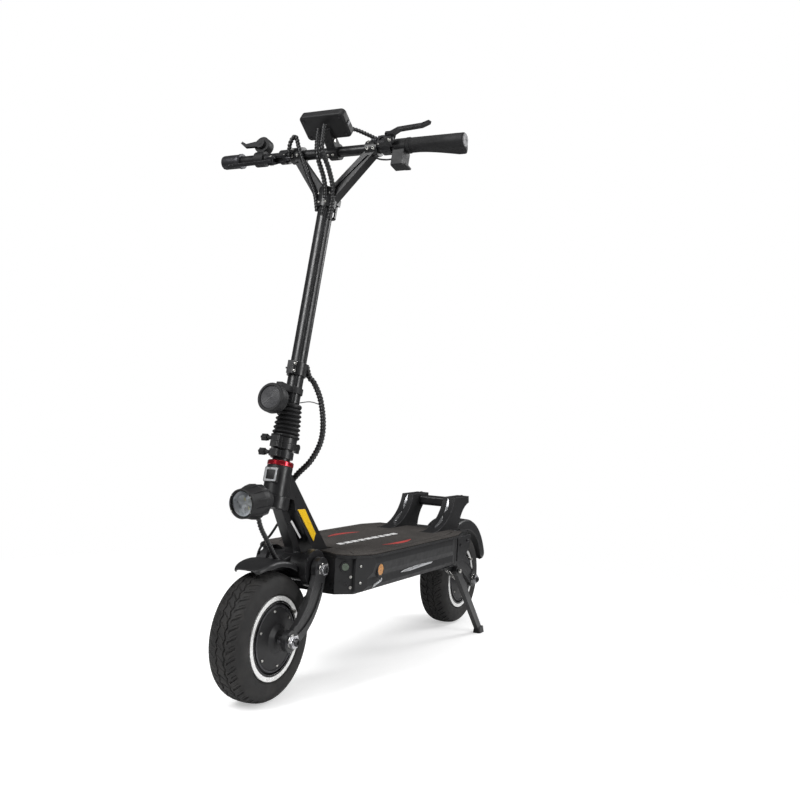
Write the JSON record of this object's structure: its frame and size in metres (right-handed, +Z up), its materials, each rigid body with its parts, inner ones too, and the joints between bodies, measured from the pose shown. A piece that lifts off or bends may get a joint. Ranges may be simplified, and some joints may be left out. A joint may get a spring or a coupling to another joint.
{
  "type": "electric kick scooter",
  "caption": "Folding electric kick scooter with wide hub-motor tyres, sprung arms, a box deck with footrest, a V-braced handlebar and a side kickstand.",
  "frame": {"origin": "on the ground, on the middle plane, halfway between the two axles", "axes": "+X forward, +Y to the rider's left, +Z up; steering straight ahead, stem up and kickstand down at rest"},
  "size_m": [1.1974, 0.606, 1.2112],
  "materials": {
    "black_paint": "satin powder coat",
    "dark_cast": "satin coated casting",
    "black_plastic": "fine texture",
    "mat_rubber": "gritty grip mat",
    "boot_rubber": "moulded rubber",
    "tread_rubber": "road tyre rubber",
    "silver_alloy": "machined",
    "bare_steel": "brushed",
    "red_anodised": "anodised",
    "amber_lens": "prismatic reflector",
    "lamp_glass": "clear lamp lens",
    "grey_plastic": "moulded plastic"
  },
  "bodies": {
    "frame": {"chassis_tray": "black_paint", "deck_lid": "black_plastic", "deck_mat": "mat_rubber", "side_panels": "black_plastic", "reflectors": "amber_lens", "steering_neck": "black_paint", "headset_bearings": "bare_steel", "battery_pack": "grey_plastic", "motor_controllers": "silver_alloy", "charge_port": "grey_plastic", "footrest_uprights": "black_paint", "footrest_bar": "black_paint"},
    "fork": {"fork": "black_paint", "headset_ring": "red_anodised", "fold_base": "black_paint", "headlight_housing": "black_plastic", "headlight_lens": "lamp_glass", "front_fender": "black_plastic"},
    "knob_lower": {"clamp_knob_lower": "black_plastic"},
    "front_suspension": {"front_arm_left": "black_paint", "front_arm_right": "black_paint", "front_motor_core": "bare_steel", "front_pivot_bolt": "bare_steel", "front_axle_nuts": "bare_steel", "front_caliper": "black_paint"},
    "front_wheel": {"front_tyre": "tread_rubber", "front_rim": "silver_alloy", "front_motor_shell": "dark_cast", "front_brake_disc": "bare_steel"},
    "rear_suspension": {"rear_arm_left": "black_paint", "rear_arm_right": "black_paint", "rear_motor_core": "bare_steel", "rear_pivot_bolt": "bare_steel", "rear_axle_nuts": "bare_steel", "rear_fender": "black_plastic", "rear_caliper": "black_paint"},
    "rear_wheel": {"rear_tyre": "tread_rubber", "rear_rim": "silver_alloy", "rear_motor_shell": "dark_cast", "rear_brake_disc": "bare_steel"},
    "kickstand": {"kickstand_leg": "black_paint"},
    "stem": {"stem_base": "black_paint", "stem_bellows": "boot_rubber", "stem_tube": "black_paint", "stem_collar": "black_paint", "horn": "black_plastic", "bar_brace": "black_paint", "handlebar": "black_paint", "grip_left": "boot_rubber", "grip_right": "boot_rubber", "brake_masters": "dark_cast", "throttle_housing": "black_plastic", "switch_pod": "black_plastic", "display": "black_plastic"},
    "knob_upper": {"clamp_knob_upper": "black_plastic"},
    "lever_left": {"brake_lever_left": "dark_cast"},
    "lever_right": {"brake_lever_right": "dark_cast"},
    "throttle": {"throttle_paddle": "black_plastic"},
    "horn_key": {"horn_button": "grey_plastic"},
    "hook": {"stem_hook": "black_paint"}
  },
  "joints": [
    {"name": "steering", "type": "hinge", "parent": "frame", "child": "fork", "pos_m": [0.42402, 0, 0.4294], "axis": [-0.2181, 0, 0.9759], "range_deg": [-40, 40]},
    {"name": "lower_knob_turn", "type": "hinge", "parent": "fork", "child": "knob_lower", "pos_m": [0.44205, -0.028, 0.49082], "axis": [0, 1, 0], "range_deg": [0, 360]},
    {"name": "front_suspension", "type": "hinge", "parent": "fork", "child": "front_suspension", "pos_m": [0.356, 0, 0.256], "axis": [0, -1, 0], "range_deg": [-2, 7], "stiffness_Nm_per_rad": 900},
    {"name": "front_wheel_spin", "type": "hinge", "parent": "front_suspension", "child": "front_wheel", "pos_m": [0.455, 0, 0.128], "axis": [0, 1, 0], "continuous": true},
    {"name": "rear_suspension", "type": "hinge", "parent": "frame", "child": "rear_suspension", "pos_m": [-0.292, 0, 0.228], "axis": [0, 1, 0], "range_deg": [-2, 7], "stiffness_Nm_per_rad": 1400},
    {"name": "rear_wheel_spin", "type": "hinge", "parent": "rear_suspension", "child": "rear_wheel", "pos_m": [-0.455, 0, 0.128], "axis": [0, 1, 0], "continuous": true},
    {"name": "kickstand_swing", "type": "hinge", "parent": "frame", "child": "kickstand", "pos_m": [-0.213, 0.125, 0.188], "axis": [0, 1, 0], "range_deg": [0, 42]},
    {"name": "stem_fold", "type": "hinge", "parent": "fork", "child": "stem", "pos_m": [0.37154, 0, 0.49914], "axis": [0, -1, 0], "range_deg": [0, 88]},
    {"name": "upper_knob_turn", "type": "hinge", "parent": "stem", "child": "knob_upper", "pos_m": [0.43573, -0.028, 0.51912], "axis": [0, 1, 0], "range_deg": [0, 360]},
    {"name": "brake_left", "type": "hinge", "parent": "stem", "child": "lever_left", "pos_m": [0.29543, 0.148, 1.15263], "axis": [-0.4163, 0, 0.9092], "range_deg": [0, 18], "stiffness_Nm_per_rad": 1},
    {"name": "brake_right", "type": "hinge", "parent": "stem", "child": "lever_right", "pos_m": [0.29524, -0.148, 1.12474], "axis": [-0.4289, 0, -0.9033], "range_deg": [0, 18], "stiffness_Nm_per_rad": 1},
    {"name": "throttle_press", "type": "hinge", "parent": "stem", "child": "throttle", "pos_m": [0.27211, -0.196, 1.17318], "axis": [0.9759, 0, 0.2181], "range_deg": [0, 20], "stiffness_Nm_per_rad": 0.5},
    {"name": "horn_press", "type": "slide", "parent": "stem", "child": "horn_key", "axis": [0.9759, 0, 0.2181], "range_m": [0, 0.0015], "stiffness_N_per_m": 400},
    {"name": "hook_swing", "type": "hinge", "parent": "stem", "child": "hook", "pos_m": [0.26264, 0, 1.02761], "axis": [0, 1, 0], "range_deg": [0, 80]}
  ]
}
